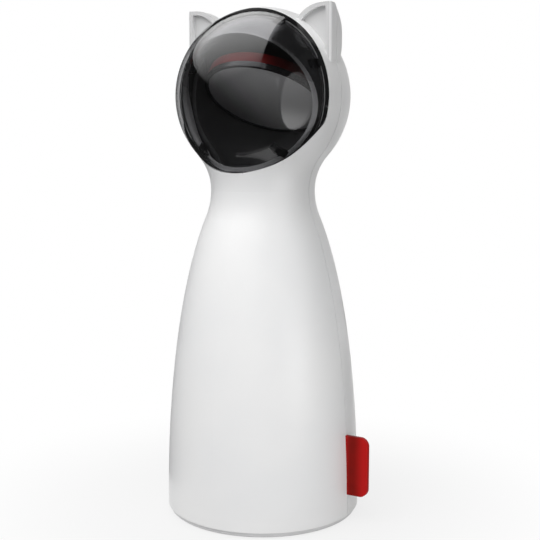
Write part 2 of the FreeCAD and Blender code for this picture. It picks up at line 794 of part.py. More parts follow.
def dome_window():
    skin = shared("dome_skin", layer("dome_layer", "0", "dome_wall"), opening_cutter(
        "dome_cutter", "opening_radius - moving_gap", "opening_depth + moving_gap"))
    way_out = opening_cutter("tab_way", "opening_radius - moving_gap", "0")
    foot = shared("tab_foot_room", way_out, layer(
        "tab_foot_layer", "dome_wall / 2", "mask_offset + tab_wall + 2 * seat_gap"))
    low_tongue = shared("low_tongue_room", way_out, layer(
        "tab_tongue_layer", "mask_offset + 2 * seat_gap", "mask_offset + tab_wall + 2 * seat_gap"))
    limit = "sqrt((head_radius - wall)^2 - opening_depth^2) - moving_gap"
    along = {"at": ("0", "0", "head_height"), "turn": FACING_FRONT}
    high_tongue = cut("high_tongue_room", rod("tongue_outer", limit, FAR, **along),
                      rod("tongue_inner", limit + " - tab_wall - weld", FAR, **along))
    tabs = []
    for index, (turn, forward) in enumerate(TAB_TURNS):
        start = "-opening_depth - 2 * moving_gap - tab_foot - (%s)" % forward
        rim = "-opening_depth - moving_gap - (%s)" % forward
        tabs.append(shared("tab_foot_%d" % index, foot, around_opening(
            "tab_foot_bar_%d" % index, turn, "tab_wide", (start, rim), "tab_root")))
        tongue = high_tongue if forward == "0" else low_tongue
        tabs.append(shared("tab_tongue_%d" % index, tongue, around_opening(
            "tab_tongue_bar_%d" % index, turn, "tab_wide", (start, rim + " + tab_reach"), "tab_root")))
    node("dome_window", join("dome_window_solid", skin, *tabs))


def mask_window():
    """The mask's oval opening, through the whole head along Y."""
    item = doc.addObject("Part::Feature", "mask_window")
    oval = Part.Ellipse(FreeCAD.Vector(0, 0, 0), size("window_wide"), size("window_tall"))
    face = Part.Face(Part.Wire(oval.toShape()))
    item.Shape = face.extrude(FreeCAD.Vector(0, 0, size(FAR)))
    place(item, ("0", "0", "window_height"), FACING_FRONT)
    return item


def dome_mask():
    skin = shared("mask_skin", layer("mask_layer", "mask_offset", "mask_offset + mask_wall"),
                  wide_box("mask_side", (NEAR, "-opening_depth + mask_tuck"), ("floor_height", OVERHEAD)))
    slots = [around_opening("mask_slot_%d" % index, turn, "tab_wide + 2 * moving_gap",
                            ("-opening_depth - 7 * moving_gap - tab_foot - (%s)" % forward,
                             "-opening_depth + tab_reach - (%s)" % forward), "tab_root")
             for index, (turn, forward) in enumerate(TAB_TURNS)]
    node("dome_mask", cut("dome_mask_solid", skin, mask_window(), *slots))


def mirror_bowl():
    below = leaning_box("below_deck", (NEAR, FAR), (BELOW_LEAN, ABOVE_LEAN), (BELOW_LEAN, "deck_height"))
    back = shared("bowl_back", layer("bowl_layer", "bowl_offset", "bowl_offset + bowl_wall"), below,
                  wide_box("bowl_side", ("-opening_depth + mask_tuck - ledge_thick", FAR),
                           ("floor_height", OVERHEAD)))
    brim = shared("bowl_brim", layer("brim_layer", "mask_offset", "bowl_offset + bowl_wall"), below,
                  wide_box("brim_side", ("-opening_depth + mask_tuck + seat_gap",
                                         "-opening_depth + mask_tuck + seat_gap + bowl_wall"),
                           ("floor_height", OVERHEAD)))
    floor = shared("bowl_floor", turned_outline("bowl_offset"),
                   wide_box("floor_slab", z=("floor_height", "floor_height + floor_thick")))
    hole = rod("laser_way", "laser_window", "floor_thick + 2 * over",
               ("0", "mirror_place", "floor_height - over"))
    pilots = [rod("holder_pilot_%d" % index, "small_screw - small_bite", "floor_thick + over",
                  (sign + "(holder_radius + flange_radius) / 2", "mirror_place", "floor_height - over"))
              for index, sign in enumerate(("", "-"))]
    node("mirror_bowl", cut("mirror_bowl_solid", join("bowl_whole", back, brim, floor), hole, *pilots))


# Mirror, tilt pivot and spinner

def mirror():
    node("mirror_glass", lathe("mirror_glass_turned", [
        ("0", "0"), ("mirror_radius - mirror_edge", "0"), ("mirror_radius", "mirror_edge"),
        ("mirror_radius", "mirror_thick"), ("0", "mirror_thick")], **leaning()))
    node("mirror_bezel", lathe("mirror_bezel_turned", [
        ("mirror_radius - bezel_wall", "-bezel_lap"),
        ("mirror_radius + bezel_wall", "-bezel_lap"),
        ("mirror_radius + bezel_wall", "bezel_tall"),
        ("mirror_radius", "bezel_tall"),
        ("mirror_radius", "mirror_edge"),
        ("mirror_radius - mirror_edge", "0"),
        ("mirror_radius - bezel_wall", "0"),
    ], **leaning()))
    cup = lathe("cup_turned", [
        ("0", "mirror_thick"),
        ("mirror_radius", "mirror_thick"),
        ("mirror_radius", "bezel_tall"),
        ("mirror_radius + cup_proud", "bezel_tall"),
        ("mirror_radius + cup_proud", "bezel_tall + cup_tall"),
        ("mirror_radius + cup_proud - cup_wall", "bezel_tall + cup_tall"),
        ("mirror_radius + cup_proud - cup_wall", "bezel_tall + cup_floor"),
        ("0", "bezel_tall + cup_floor"),
    ], **leaning())
    lug = leaning_box("tilt_lug_block", ("-lug_half", "lug_half"), ("-lug_deep", "lug_deep"),
                      ("bezel_tall", "pivot_height"))
    knuckle = rod("tilt_knuckle", "lug_deep", "2 * lug_half",
                  leaning("-lug_half", "0", "pivot_height")["at"], ALONG_X)
    bore = rod("tilt_bore", "pivot_radius + shaft_play", "2 * lug_half + 2 * over",
               leaning("-lug_half - over", "0", "pivot_height")["at"], ALONG_X)
    node("mirror_cup", cut("mirror_cup_solid", join("cup_whole", cup, lug, knuckle), bore))


def spinner():
    disc = lathe("spinner_turned", [
        ("0", "hub_height"),
        ("hub_radius", "hub_height"),
        ("hub_radius", "hub_height + hub_thick"),
        ("shaft_radius", "hub_height + hub_thick"),
        ("shaft_radius", "gear_height + gear_thick"),
        ("0", "gear_height + gear_thick"),
    ], **leaning())
    cheeks = []
    for name, low, high in (("right", "lug_half + cheek_gap", "lug_half + cheek_gap + cheek_wall"),
                            ("left", "-lug_half - cheek_gap - cheek_wall", "-lug_half - cheek_gap")):
        cheeks.append(leaning_box("cheek_block_" + name, (low, high), ("-lug_deep", "lug_deep"),
                                  ("pivot_height", "hub_height + weld")))
        cheeks.append(rod("cheek_round_" + name, "lug_deep", "cheek_wall",
                          leaning(low, "0", "pivot_height")["at"], ALONG_X))
    bore = rod("cheek_bore", "pivot_radius", "2 * (lug_half + cheek_gap + cheek_wall + over)",
               leaning("-lug_half - cheek_gap - cheek_wall - over", "0", "pivot_height")["at"], ALONG_X)
    node("spinner_hub", cut("spinner_hub_solid", join("hub_whole", disc, *cheeks), bore))
    node("tilt_pin", rod("tilt_pin_rod", "pivot_radius", "2 * (lug_half + cheek_gap + cheek_wall)",
                         leaning("-lug_half - cheek_gap - cheek_wall", "0", "pivot_height")["at"], ALONG_X))


# Gear train

def gear_outline(teeth, tip_height, turn):
    """Points round a spur gear with involute flanks. The first tooth points along the turn, in radians."""
    pitch = teeth * size("gear_module") / 2
    base = pitch * math.cos(math.radians(size("pressure_angle")))
    root = pitch - size("root_depth")
    tip = pitch + size(tip_height)
    half = (math.pi * size("gear_module") / 2 - size("backlash")) / (2 * pitch)

    def spread(radius):
        roll = math.acos(min(1.0, base / radius))
        return math.tan(roll) - roll

    foot = max(base, root)
    radii = [foot + (tip - foot) * step / 3 for step in range(4)]
    flank = [(radius, half + spread(pitch) - spread(radius)) for radius in radii]
    if root < base:
        flank.insert(0, (root, flank[0][1]))
    points = []
    for tooth in range(teeth):
        middle = turn + 2 * math.pi * tooth / teeth
        for radius, angle in [(radius, -angle) for radius, angle in flank] + flank[::-1]:
            along = middle + angle
            points.append(FreeCAD.Vector(radius * math.cos(along), radius * math.sin(along), 0))
    return points


def toothed(teeth, tip_height, turn, bottom, thick):
    """A toothed disc from a height up."""
    points = gear_outline(teeth, tip_height, turn)
    face = Part.Face(Part.makePolygon(points + points[:1]))
    face.translate(FreeCAD.Vector(0, 0, bottom))
    return face.extrude(FreeCAD.Vector(0, 0, thick))


def meshing_turn(turn, teeth, line, next_teeth):
    """The turn of the next gear that puts its gap at the first gear's tooth, along the line of centres."""
    share = (line - turn) * teeth / (2 * math.pi)
    return line + math.pi - (0.5 - share) * 2 * math.pi / next_teeth


def idler_place():
    """Where the idler's axle stands, from its two centre distances."""
    to_output = (size("output_teeth") + size("pinion_teeth")) * size("gear_module") / 2
    to_motor = (size("wheel_teeth") + size("pinion_teeth")) * size("gear_module") / 2
    offset = size("motor_offset")
    y = (to_motor ** 2 - to_output ** 2 - offset ** 2) / (2 * offset)
    return math.sqrt(to_output ** 2 - y ** 2), y


def gear_node(name, shape, x, y):
    item = doc.addObject("Part::Feature", name + "_teeth")
    item.Shape = shape
    place(item, **leaning("%.6f" % x, "%.6f" % y, "gear_height"))
    node(name, item)


def gear_train():
    idler_x, idler_y = idler_place()
    output_teeth, wheel_teeth, pinion_teeth = (int(size(name)) for name in (
        "output_teeth", "wheel_teeth", "pinion_teeth"))
    thick = size("gear_thick")
    rise = thick + size("stage_gap")

    output = toothed(output_teeth, "wheel_tip", 0, 0, thick)
    gear_node("output_gear", output.cut(Part.makeCylinder(size("shaft_radius"), thick)), 0, 0)

    line = math.atan2(idler_y, idler_x)
    small_turn = meshing_turn(0, output_teeth, line, pinion_teeth)
    small = toothed(pinion_teeth, "pinion_tip", small_turn, 0, rise)
    wheel = toothed(wheel_teeth, "wheel_tip", small_turn, rise, size("wheel_thick"))
    bore = Part.makeCylinder(size("axle_radius + shaft_play"), rise + size("wheel_thick"))
    gear_node("idler_gear", small.fuse(wheel).cut(bore), idler_x, idler_y)

    motor_y = -size("motor_offset")
    line = math.atan2(motor_y - idler_y, -idler_x)
    pinion = toothed(pinion_teeth, "pinion_tip", meshing_turn(small_turn, wheel_teeth, line, pinion_teeth),
                     rise, size("pinion_tall"))
    shaft_hole = Part.makeCylinder(size("motor_shaft"), rise + size("pinion_tall"))
    gear_node("motor_pinion", pinion.cut(shaft_hole), 0, motor_y)
    node("idler_axle", rod("idler_axle_rod", "axle_radius", "deck_thick + post_tall + bridge_thick",
                           **at_idler("deck_height")))


# Where the three posts of the motor's bridge stand on the deck
POSTS = (("-13.5", "-3"), ("18", "6"), ("0", "-18.5"))

# Heights of the bridge and of the motor's foot on it, along the leaning axis
BRIDGE = "deck_height + deck_thick + post_tall"
MOTOR_FOOT = BRIDGE + " + bridge_thick"


def at_idler(height):
    return leaning(*("%.6f" % distance for distance in idler_place()), height)


def gearbox():
    rim = shared("deck_plate", turned_outline("wall + mask_wall / 2"), leaning_box(
        "deck_slab", (NEAR, FAR), (NEAR, FAR), ("deck_height", "deck_height + deck_thick")))
    posts = [rod("deck_post_%d" % index, "post_radius", "post_tall + weld",
                 **leaning(x, y, "deck_height + deck_thick - weld")) for index, (x, y) in enumerate(POSTS)]
    front_room = shared("mask_room", layer("mask_room_layer", "0", "mask_offset + mask_wall + seat_gap"),
                        wide_box("mask_room_side", (NEAR, "-opening_depth + mask_tuck + seat_gap")))
    tools = [front_room,
             rod("bush_hole", "bush_radius", "deck_thick + 2 * over", **leaning(z="deck_height - over")),
             rod("axle_hole", "axle_radius", "deck_thick + 2 * over", **at_idler("deck_height - over")),
             box("deck_notch", ("-channel_half", "channel_half"),
                 ("head_radius - bowl_offset - bowl_wall + 2 * weld", FAR), ("floor_height", OVERHEAD))]
    tools += [rod("post_pilot_%d" % index, "small_screw - small_bite", "post_tall",
                  **leaning(x, y, "deck_height + deck_thick + over")) for index, (x, y) in enumerate(POSTS)]
    node("mirror_deck", cut("mirror_deck_solid", join("deck_whole", rim, *posts), *tools))
    node("output_bush", lathe("output_bush_turned", [
        ("shaft_radius + shaft_play", "deck_height - bush_lip"),
        ("bush_flange", "deck_height - bush_lip"),
        ("bush_flange", "deck_height"),
        ("bush_radius", "deck_height"),
        ("bush_radius", "deck_height + deck_thick + bush_lip"),
        ("shaft_radius + shaft_play", "deck_height + deck_thick + bush_lip"),
    ], **leaning()))

    bridge = rod("bridge_disc", "bridge_radius", "bridge_thick",
                 **leaning("bridge_side", "-bridge_front", BRIDGE))
    through = "bridge_thick + 2 * over"
    holes = [rod("bridge_motor_hole", "pinion_teeth * gear_module / 2 + over", through,
                 **leaning("0", "-motor_offset", BRIDGE + " - over")),
             rod("bridge_axle_hole", "axle_radius", through, **at_idler(BRIDGE + " - over"))]
    holes += [rod("bridge_hole_%d" % index, "small_screw + hole_play", through,
                  **leaning(x, y, BRIDGE + " - over")) for index, (x, y) in enumerate(POSTS)]
    node("motor_bridge", cut("motor_bridge_solid", bridge, *holes))


def motor():
    on_axis = leaning("0", "-motor_offset", "0")
    back = MOTOR_FOOT + " + motor_long"
    node("motor_can", lathe("motor_can_turned", [
        ("motor_shaft + bush_wall", MOTOR_FOOT),
        ("motor_radius - motor_round", MOTOR_FOOT),
        ("motor_radius", MOTOR_FOOT + " + motor_round"),
        ("motor_radius", back),
        ("motor_shaft + bush_wall", back),
    ], **on_axis))
    node("motor_bush", lathe("motor_bush_turned", [
        ("motor_shaft + shaft_play", MOTOR_FOOT + " - bush_nose"),
        ("motor_shaft + bush_wall", MOTOR_FOOT + " - bush_nose"),
        ("motor_shaft + bush_wall", back),
        ("motor_shaft + shaft_play", back),
    ], **on_axis))
    node("motor_cap", lathe("motor_cap_turned", [
        ("0", back),
        ("cap_radius", back),
        ("cap_radius", back + " + cap_thick"),
        ("0", back + " + cap_thick"),
    ], **on_axis))
    tip = "gear_height + gear_thick + stage_gap"
    node("motor_shaft", lathe("motor_shaft_turned", [
        ("0", tip),
        ("motor_shaft", tip),
        ("motor_shaft", back + " - shaft_short"),
        ("0", back + " - shaft_short"),
    ], **on_axis))


# Laser under the bowl

def laser():
    under_mirror = ("0", "mirror_place", "0")
    foot = "floor_height - laser_sunk - laser_long"
    holes = [rod("holder_hole_%d" % index, "small_screw + hole_play", "flange_thick + over",
                 (sign + "(holder_radius + flange_radius) / 2", "mirror_place",
                  "floor_height - flange_thick - over / 2"))
             for index, sign in enumerate(("", "-"))]
    node("laser_holder", cut("laser_holder_solid", lathe("laser_holder_turned", [
        ("laser_radius", "floor_height - holder_long"),
        ("holder_radius", "floor_height - holder_long"),
        ("holder_radius", "floor_height - flange_thick"),
        ("flange_radius", "floor_height - flange_thick"),
        ("flange_radius", "floor_height"),
        ("laser_radius", "floor_height"),
    ], at=under_mirror), *holes))
    node("laser_barrel", lathe("laser_barrel_turned", [
        ("0", foot),
        ("laser_radius", foot),
        ("laser_radius", "floor_height - laser_sunk"),
        ("lens_radius", "floor_height - laser_sunk"),
        ("lens_radius", "floor_height - lens_seat"),
        ("0", "floor_height - lens_seat"),
    ], at=under_mirror))
    node("laser_lens", lathe("laser_lens_turned", [
        ("0", "floor_height - lens_seat"),
        ("lens_radius", "floor_height - lens_seat"),
        ("lens_radius", "floor_height - lens_seat + lens_edge"),
        ("0", "floor_height - lens_seat + lens_edge + lens_crown"),
    ], at=under_mirror))
    node("laser_board", rod("laser_board_disc", "laser_radius - weld", "laser_board_thick",
                            ("0", "mirror_place", foot + " - laser_board_thick")))


# Battery bay behind the door

def tray_top():
    return "tray_bottom + tray_floor + 2 * contact_thick + spring_tall + cell_long + nub_tall"


def battery_tray():
    half = "cell_pitch + cell_radius + cell_play + tray_wall"
    front = "cell_place - cell_radius - cell_play - tray_wall"
    top = tray_top()
    screw_height = "door_top - door_screw_drop"
    block = box("tray_block", ("-(%s)" % half, half), (front, FAR), ("tray_bottom", top + " + tray_wall"))
    room = box("tray_room", ("-(%s) + tray_wall" % half, "(%s) - tray_wall" % half),
               ("(%s) + tray_wall" % front, FAR), ("tray_bottom + tray_floor", top))
    boss = box("tray_boss", ("-door_boss", "door_boss"), ("cell_place - cell_radius", FAR),
               (top + " + tray_wall - weld", screw_height + " + door_boss"))
    fit = turned_outline("wall + cell_play")
    holes = [
        rod("door_pad_room", "door_pad_radius + moving_gap", FAR,
            ("0", door_seat() + " - door_pad - moving_gap", screw_height), FACING_BACK),
        rod("door_screw_hole", "screw_radius + moving_gap", FAR,
            ("0", "cell_place + pilot_floor", screw_height), FACING_BACK)]
    for index, sign in enumerate(("", "-")):
        holes.append(rod("peg_hole_%d" % index, "peg_radius + moving_gap", FAR,
                         (sign + "peg_spread", "peg_hole_start", "tray_bottom + tray_floor / 2"),
                         FACING_BACK))
    whole = join("tray_whole", cut("tray_hollow", block, room), boss)
    node("battery_tray", cut("battery_tray_solid", shared("tray_fitted", whole, fit), *holes))


def battery_door():
    inner = layer("door_layer", "0", "door_wall")
    area = box("door_area", ("-door_half + moving_gap", "door_half - moving_gap"),
               ("cell_place - cell_radius", FAR), ("door_bottom + moving_gap", "door_top - moving_gap"))
    pegs = [rod("door_peg_%d" % index, "peg_radius", FAR, (
        sign + "peg_spread", "peg_start", "tray_bottom + tray_floor / 2"), FACING_BACK)
        for index, sign in enumerate(("", "-"))]
    kept_pegs = shared("door_pegs_kept", join("door_pegs", *pegs), turned_outline("door_wall / 2"))
    height = "door_top - door_screw_drop"
    hole = rod("door_hole", "screw_radius + hole_play", FAR, ("0", "cell_place", height), FACING_BACK)
    sink = rod("door_sink", "screw_head + head_play", FAR, ("0", door_seat(), height), FACING_BACK)
    pad = shared("door_pad", rod("door_pad_rod", "door_pad_radius", FAR,
                                 ("0", door_seat() + " - door_pad", height), FACING_BACK),
                 turned_outline("door_wall / 2"))
    node("battery_door", cut("battery_door_solid", join("door_whole", shared("door_skin", inner, area),
                                                        kept_pegs, pad), hole, sink))


def door_seat():
    """How far back the door screw's head sits."""
    return surface_at("door_top - door_screw_drop") + " - door_screw_sink"


def cells():
    bottom = "tray_bottom + tray_floor + contact_thick + spring_tall"
    cell = lathe("cell_turned", [
        ("0", "0"),
        ("cell_radius - cell_round", "0"),
        ("cell_radius", "cell_round"),
        ("cell_radius", "cell_long - cell_round"),
        ("cell_radius - cell_round", "cell_long"),
        ("nub_radius", "cell_long"),
        ("nub_radius", "cell_long + nub_tall"),
        ("0", "cell_long + nub_tall")])
    rows = ["%d * cell_pitch" % row for row in (-1, 0, 1)]
    group("aa_cells", cell, [spot(across, "cell_place", bottom) for across in rows])
    spring = lathe("spring_turned", [
        ("spring_foot - spring_wall", "0"),
        ("spring_foot", "0"),
        ("spring_tip", "spring_tall"),
        ("spring_tip - spring_wall", "spring_tall")])
    group("contact_springs", spring, [
        spot(across, "cell_place", "tray_bottom + tray_floor + contact_thick") for across in rows])
    plate = slab("contact_outline", [
        (sign_x + "contact_half", sign_y + "contact_half", "contact_round")
        for sign_x, sign_y in (("-", "-"), ("", "-"), ("", ""), ("-", ""))], "contact_thick")
    places = [spot(across, "cell_place", height) for across in rows
              for height in ("tray_bottom + tray_floor", tray_top() + " - contact_thick")]
    group("contact_plates", plate, places)


# Electronics

def electronics():
    back = "board_place + board_thick"
    board = box("board_block", ("-board_half", "board_half"), ("board_place", back),
                ("board_bottom", "board_bottom + board_tall"))
    holes = [rod("board_hole_%d" % index, "small_screw + hole_play", "board_thick + 2 * over",
                 (across, "board_place - over", height), FACING_BACK)
             for index, (across, height) in enumerate(board_screw_places())]
    node("circuit_board", cut("circuit_board_solid", board, *holes))

    mouth = socket_end()
    socket = slab("socket_body", upright_window(
        "socket_half", "socket_tall / 2", "socket_height", "socket_round"),
        "(%s) - (%s)" % (mouth, back), at=("0", mouth, "0"), role="XZ_Plane")
    hollow = slab("socket_hollow", upright_window(
        "socket_half - socket_wall", "socket_tall / 2 - socket_wall", "socket_height",
        "socket_round - socket_wall"),
        "socket_deep", at=("0", mouth + " + seat_gap", "0"), role="XZ_Plane")
    tongue = box("socket_tongue", ("-tongue_half", "tongue_half"),
                 (mouth + " - socket_deep - weld", mouth + " - over"),
                 ("socket_height - tongue_thick / 2", "socket_height + tongue_thick / 2"))
    node("usb_socket", join("usb_socket_solid", cut("socket_shell", socket, hollow), tongue))

    node("slide_switch", box("slide_switch_block", ("-switch_half", "switch_half"),
                             (back, back + " + switch_deep"),
                             ("switch_height - switch_tall / 2", "switch_height + switch_tall / 2")))
    plate_back = back + " + switch_deep + moving_gap"
    plate = box("knob_plate_block", ("-knob_half - 2 * knob_lap", "knob_half + 2 * knob_lap"),
                (plate_back, plate_back + " + knob_plate"),
                ("switch_height - knob_tall / 2 - knob_lap", "switch_height + knob_tall / 2 + knob_lap"))
    grip = slab("knob_grip", upright_window("knob_half", "knob_tall / 2", "switch_height", "knob_round"),
                "(%s) - (%s) - knob_plate / 2" % (knob_end(), plate_back),
                at=("0", knob_end(), "0"), role="XZ_Plane")
    ridges = [box("knob_ridge_%d" % index,
                  ("%d * knob_half / 2 - ridge_half" % row, "%d * knob_half / 2 + ridge_half" % row),
                  (knob_end() + " - ridge_deep", knob_end() + " + over"),
                  ("switch_height - knob_tall", "switch_height + knob_tall"))
              for index, row in enumerate((-1, 0, 1))]
    node("power_knob", cut("power_knob_solid", join("knob_whole", plate, grip), *ridges))

    chip_middle = "switch_height - chip_drop"
    node("controller_chip", box("controller_chip_block", ("-chip_half", "chip_half"),
                                ("board_place - chip_thick", "board_place"),
                                (chip_middle + " - chip_half", chip_middle + " + chip_half")))
    node("capacitor", rod("capacitor_can", "capacitor_radius", "capacitor_long",
                          ("capacitor_side", "board_place", chip_middle), FACING_FRONT))
    plug = box("lead_plug_block", ("-plug_half", "plug_half"), ("-plug_deep", "0"), ("0", "plug_tall"))
    group("lead_plugs", plug, [spot("0", "board_place", "switch_height + plug_rise"),
                               spot("-plug_pitch", "board_place", "switch_height + plug_rise"),
                               spot("plug_pitch", "board_place", "board_bottom + low_plug")])


def socket_end():
    """Where the socket's mouth is, just inside the cover's outer surface."""
    return surface_at("socket_height") + " - socket_recess"


def knob_end():
    """Where the knob's grip ends, proud of the cover."""
    return surface_at("switch_height") + " + knob_rise"


# Leads inside the housing

def lead_path(points):
    """Straight runs joined by tangent arcs, as large as the runs allow."""
    places = [FreeCAD.Vector(*point) for point in points]
    edges = []
    start = places[0]
    for before, here, after in zip(places, places[1:], places[2:]):
        back = (before - here).normalize()
        ahead = (after - here).normalize()
        shorter = min((before - here).Length, (after - here).Length)
        half = back.getAngle(ahead) / 2
        radius = 0.45 * shorter * math.tan(half)
        entry = here + back * (0.45 * shorter)
        leave = here + ahead * (0.45 * shorter)
        middle = here + (back + ahead).normalize() * (radius / math.sin(half) - radius)
        edges.append(Part.LineSegment(start, entry).toShape())
        edges.append(Part.Arc(entry, middle, leave).toShape())
        start = leave
    edges.append(Part.LineSegment(start, places[-1]).toShape())
    return Part.Wire(edges)


def lead(points):
    path = lead_path(points)
    first = FreeCAD.Vector(*points[0])
    toward = FreeCAD.Vector(*points[1]) - first
    ring = Part.Wire(Part.makeCircle(size("lead_radius"), first, toward))
    tube = path.makePipeShell([ring], True, False)
    expected = math.pi * size("lead_radius") ** 2 * path.Length
    print("lead: volume %.3f of %.3f" % (tube.Volume, expected))
    return tube


def lead_pair(name, routes):
    item = doc.addObject("Part::Feature", name)
    item.Shape = Part.makeCompound([lead(route) for route in routes])
    node(name, item)


# The motor's leads run down the back of the head at these turns, and on to these depths and heights
HEAD_TURNS = (30, 16, 2, -12, -26)
NECK_RUN = ((23.4, 149.0), (18.6, 141.0), (17.4, 131.0), (18.4, 120.0))


def leads():
    plug_top = size("switch_height + plug_rise + plug_tall")
    plug_y = size("board_place - plug_deep / 2")
    pitch = size("plug_pitch")
    apart = size("lead_apart")
    middle = size("head_height")
    ring = size("head_radius - wall - 2.5 * lead_radius")
    cap_level = MOTOR_FOOT + " + motor_long + cap_thick - lead_radius"
    starts = [[size(text) for text in leaning("0", "cap_radius - motor_offset" + out, cap_level)["at"][1:]]
              for out in ("", " + lead_stub")]
    along_head = [(ring * math.cos(math.radians(turn)), middle + ring * math.sin(math.radians(turn)))
                  for turn in HEAD_TURNS]
    to_plug = [(plug_y, plug_top + size("lead_drop")), (plug_y, plug_top)]
    run = [*starts, *along_head, *NECK_RUN, *to_plug]
    lead_pair("motor_leads", [[(side * apart, y, z) for y, z in run] for side in (-1, 1)])

    board_z = size("floor_height - laser_sunk - laser_board_thick - laser_long")
    laser_y = size("mirror_place")
    routes = []
    for side in (-1, 1):
        x = side * apart
        routes.append([
            (x, laser_y, board_z),
            (x, laser_y, board_z - 5),
            (x - 4.0, laser_y + 7, board_z - 11),
            (x - pitch + 0.2, laser_y + 14, board_z - 15),
            (x - pitch, plug_y, plug_top + 4),
            (x - pitch, plug_y, plug_top),
        ])
    lead_pair("laser_leads", routes)

    roof = size(tray_top() + " + tray_wall")
    low_plug = size("board_bottom + low_plug")
    inside = size("cell_place") - 4.8
    lead_pair("battery_leads", [[
        (pitch + side * apart, inside, roof),
        (pitch + side * apart, inside, roof + 4),
        (pitch + side * apart, plug_y, roof + 6.5),
        (pitch + side * apart, plug_y, low_plug),
    ] for side in (-1, 1)])


# Screws

def screw(name, radius, head, head_tall, long):
    """A pan-head screw with a cross recess, its head above the XY plane and its shank below."""
    turned = lathe(name + "_turned", [
        ("0", "-(%s)" % long),
        ("(%s) - screw_point" % radius, "-(%s)" % long),
        (radius, "1.5 * screw_point - (%s)" % long),
        (radius, "0"),
        (head, "0"),
        (head, "(%s) * head_side" % head_tall),
        ("(%s) * head_side" % head, head_tall),
        ("0", head_tall)])
    arm = ("-(%s) * cross_reach" % head, "(%s) * cross_reach" % head)
    slit = ("-cross_half", "cross_half")
    depth = ("(%s) * (1 - head_side)" % head_tall, "(%s) + over" % head_tall)
    slots = [box(name + "_slot_x", arm, slit, depth), box(name + "_slot_y", slit, arm, depth)]
    return cut(name, turned, *slots)


def leaning_spot(x, y, z):
    where = leaning(x, y, z)
    return spot(*where["at"], turn=where["turn"])


def screws():
    long_screw = screw("long_screw", "screw_radius - thread_bite", "screw_head", "screw_head_tall",
                       "long_screw_long")
    group("housing_screws", long_screw, [
        spot(sign + across, "screw_seat", height, FACING_BACK)
        for across, height in (("low_boss_side", "low_boss_height"), ("neck_boss_side", "neck_boss_height"))
        for sign in ("", "-")])
    ear_screw = screw("ear_screw", "screw_radius - thread_bite", "screw_head", "screw_head_tall",
                      "ear_screw_long")
    group("ear_screws", ear_screw, [
        spot(sign + "ear_screw_side", "ear_screw_seat", "ear_screw_height", FACING_BACK)
        for sign in ("", "-")])
    base_screw = screw("base_screw", "screw_radius - thread_bite", "screw_head", "base_screw_head",
                       "base_screw_long")
    group("base_screws", base_screw, [
        spot("base_boss_ring * cos(%d)" % turn, "base_boss_ring * sin(%d)" % turn,
             "base_screw_seat", UPSIDE_DOWN)
        for half in BASE_BOSS_TURNS.values() for turn in half])
    small = screw("small_screw_master", "small_screw - small_bite", "small_head", "small_head_tall",
                  "small_screw_long")
    group("gearbox_screws", small, [leaning_spot(x, y, MOTOR_FOOT) for x, y in POSTS])
    holder = screw("holder_screw", "small_screw - small_bite", "small_head - weld", "small_head_tall",
                   "flange_thick + floor_thick - weld")
    group("holder_screws", holder, [spot(sign + "(holder_radius + flange_radius) / 2", "mirror_place",
                                         "floor_height - flange_thick", UPSIDE_DOWN) for sign in ("", "-")])
    group("board_screws", small, [spot(across, "board_place", height, FACING_FRONT)
                                  for across, height in board_screw_places()])
    door = screw("door_screw_master", "screw_radius", "screw_head", "door_screw_head", "door_screw_long")
    group("door_screw", door, [spot("0", door_seat(), "door_top - door_screw_drop", FACING_BACK)])


front_shell()
rear_cover()
base_plate()
red_tag()
dome_window()
dome_mask()
mirror_bowl()
mirror()
spinner()
gear_train()
gearbox()
motor()
laser()
battery_tray()
battery_door()
cells()
electronics()
leads()
screws()
doc.recompute()

failed = [item.Name for item in doc.Objects if {"Invalid", "Error"} & set(item.State)]
if failed:
    raise RuntimeError("failed objects: " + ", ".join(failed))
for name, item in nodes.items():
    if item.Shape.isNull() or not item.Shape.isValid():
        raise RuntimeError("bad shape: " + name)

os.makedirs("parts", exist_ok=True)
for name, item in nodes.items():
    item.Shape.exportStep("parts/%s.step" % name)
    print("%-18s %2d solids %9.1f mm3" % (name, len(item.Shape.Solids), item.Shape.Volume))
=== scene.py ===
# Automatic cat laser toy: a white pear-shaped housing with two ears, a smoked dome over its face and a
# red tag on its side, standing on a pale studio floor. Metres, +Z up, the dome faces -Y.

import math

import bpy
import numpy as np
from mathutils import Matrix, Vector

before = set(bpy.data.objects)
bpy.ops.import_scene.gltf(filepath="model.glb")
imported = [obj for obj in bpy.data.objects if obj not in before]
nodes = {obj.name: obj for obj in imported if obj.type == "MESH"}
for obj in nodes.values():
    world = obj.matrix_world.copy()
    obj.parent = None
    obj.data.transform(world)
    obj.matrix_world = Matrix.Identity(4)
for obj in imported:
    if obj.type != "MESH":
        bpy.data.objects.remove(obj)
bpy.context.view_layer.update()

MM = 0.001
PURE_WHITE = (1.0, 1.0, 1.0, 1.0)
MIX_FIRST_COLOUR, MIX_SECOND_COLOUR, MIX_COLOUR_OUT = 6, 7, 2


# Shader maths: an output of a node that can stand in a sum

class Value:
    def __init__(self, finish, socket):
        self.finish = finish
        self.socket = socket

    def maths(self, operation, *terms):
        return self.finish.add("ShaderNodeMath", {"operation": operation}, dict(enumerate(terms)))

    def __add__(self, other):
        return self.maths("ADD", self, other)

    def __sub__(self, other):
        return self.maths("SUBTRACT", self, other)

    def __rsub__(self, other):
        return self.maths("SUBTRACT", other, self)

    def __mul__(self, other):
        return self.maths("MULTIPLY", self, other)

    def __truediv__(self, other):
        return self.maths("DIVIDE", self, other)

    def __pow__(self, other):
        return self.maths("POWER", self, other)

    __radd__ = __add__
    __rmul__ = __mul__

    def between(self, low, high, at_low=0.0, at_high=1.0):
        """Smoothly from one number to another as the value goes from low to high."""
        return self.finish.add("ShaderNodeMapRange", {"interpolation_type": "SMOOTHSTEP"}, {
            "Value": self, "From Min": low, "From Max": high, "To Min": at_low, "To Max": at_high})


